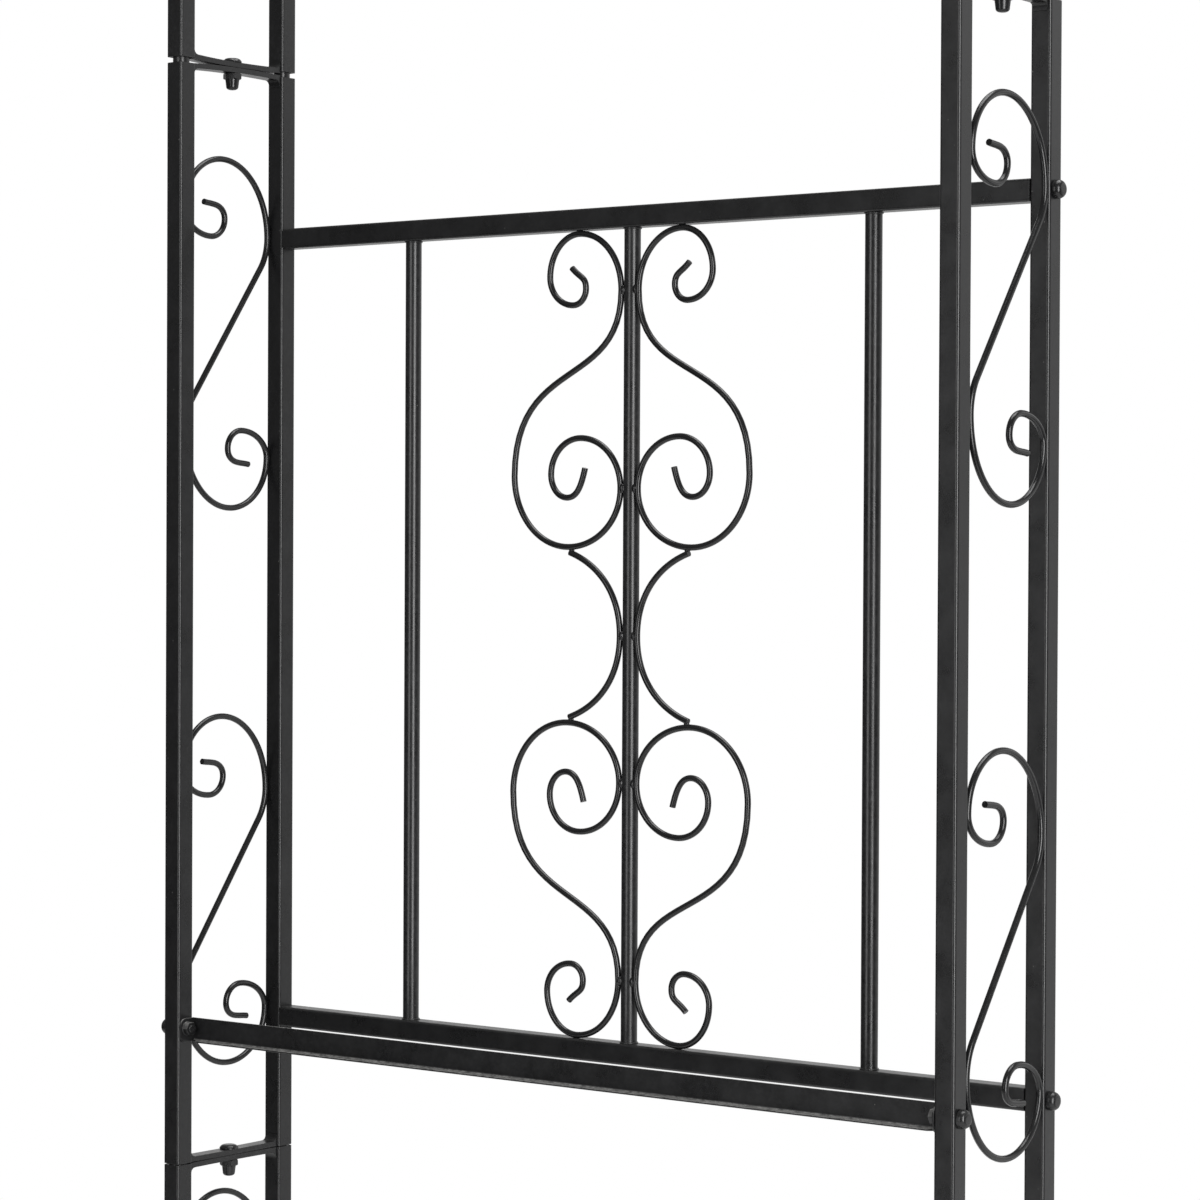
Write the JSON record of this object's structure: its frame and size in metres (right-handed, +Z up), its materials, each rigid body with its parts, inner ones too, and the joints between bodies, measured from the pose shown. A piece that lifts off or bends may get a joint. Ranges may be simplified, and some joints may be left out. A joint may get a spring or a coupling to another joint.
{
  "type": "garden arch",
  "caption": "Free-standing garden arch of square steel tube with ladder-like scroll legs, a round bent top and a bolted scrollwork gate panel.",
  "frame": {"origin": "on the ground, at the middle of the footprint of the four feet", "axes": "+X across the passage to the right, -Y to the front, +Z up"},
  "size_m": [1.0156, 0.18, 2.25],
  "materials": {
    "powder_coat": "satin",
    "fastener_coat": "satin"
  },
  "bodies": {
    "root": {"apex_joint_bolt": "fastener_coat", "apex_joint_cap_nut": "fastener_coat", "front_rail": "powder_coat", "left_arch_apex_bar": "powder_coat", "left_arch_base_bar": "powder_coat", "left_arch_far_tube": "powder_coat", "left_arch_near_tube": "powder_coat", "left_arch_scroll": "powder_coat", "left_front_rail_bolt": "fastener_coat", "left_lower_far_post": "powder_coat", "left_lower_foot_bar": "powder_coat", "left_lower_joint_bar": "powder_coat", "left_lower_joint_bolt": "fastener_coat", "left_lower_joint_cap_nut": "fastener_coat", "left_lower_near_post": "powder_coat", "left_lower_scroll": "powder_coat", "left_middle_bottom_bar": "powder_coat", "left_middle_bottom_scroll": "powder_coat", "left_middle_far_post": "powder_coat", "left_middle_near_post": "powder_coat", "left_middle_top_bar": "powder_coat", "left_middle_top_scroll": "powder_coat", "left_panel_bottom_bolt": "fastener_coat", "left_panel_top_bolt": "fastener_coat", "left_upper_joint_bolt": "fastener_coat", "left_upper_joint_cap_nut": "fastener_coat", "panel_bottom_rail": "powder_coat", "panel_centre_bar": "powder_coat", "panel_left_bar": "powder_coat", "panel_left_link_wire": "powder_coat", "panel_lower_left_scroll": "powder_coat", "panel_lower_right_scroll": "powder_coat", "panel_right_bar": "powder_coat", "panel_right_link_wire": "powder_coat", "panel_top_rail": "powder_coat", "panel_upper_left_scroll": "powder_coat", "panel_upper_right_scroll": "powder_coat", "right_arch_apex_bar": "powder_coat", "right_arch_base_bar": "powder_coat", "right_arch_far_tube": "powder_coat", "right_arch_near_tube": "powder_coat", "right_arch_scroll": "powder_coat", "right_front_rail_bolt": "fastener_coat", "right_lower_far_post": "powder_coat", "right_lower_foot_bar": "powder_coat", "right_lower_joint_bar": "powder_coat", "right_lower_joint_bolt": "fastener_coat", "right_lower_joint_cap_nut": "fastener_coat", "right_lower_near_post": "powder_coat", "right_lower_scroll": "powder_coat", "right_middle_bottom_bar": "powder_coat", "right_middle_bottom_scroll": "powder_coat", "right_middle_far_post": "powder_coat", "right_middle_near_post": "powder_coat", "right_middle_top_bar": "powder_coat", "right_middle_top_scroll": "powder_coat", "right_panel_bottom_bolt": "fastener_coat", "right_panel_top_bolt": "fastener_coat", "right_upper_joint_bolt": "fastener_coat", "right_upper_joint_cap_nut": "fastener_coat"}
  },
  "joints": []
}
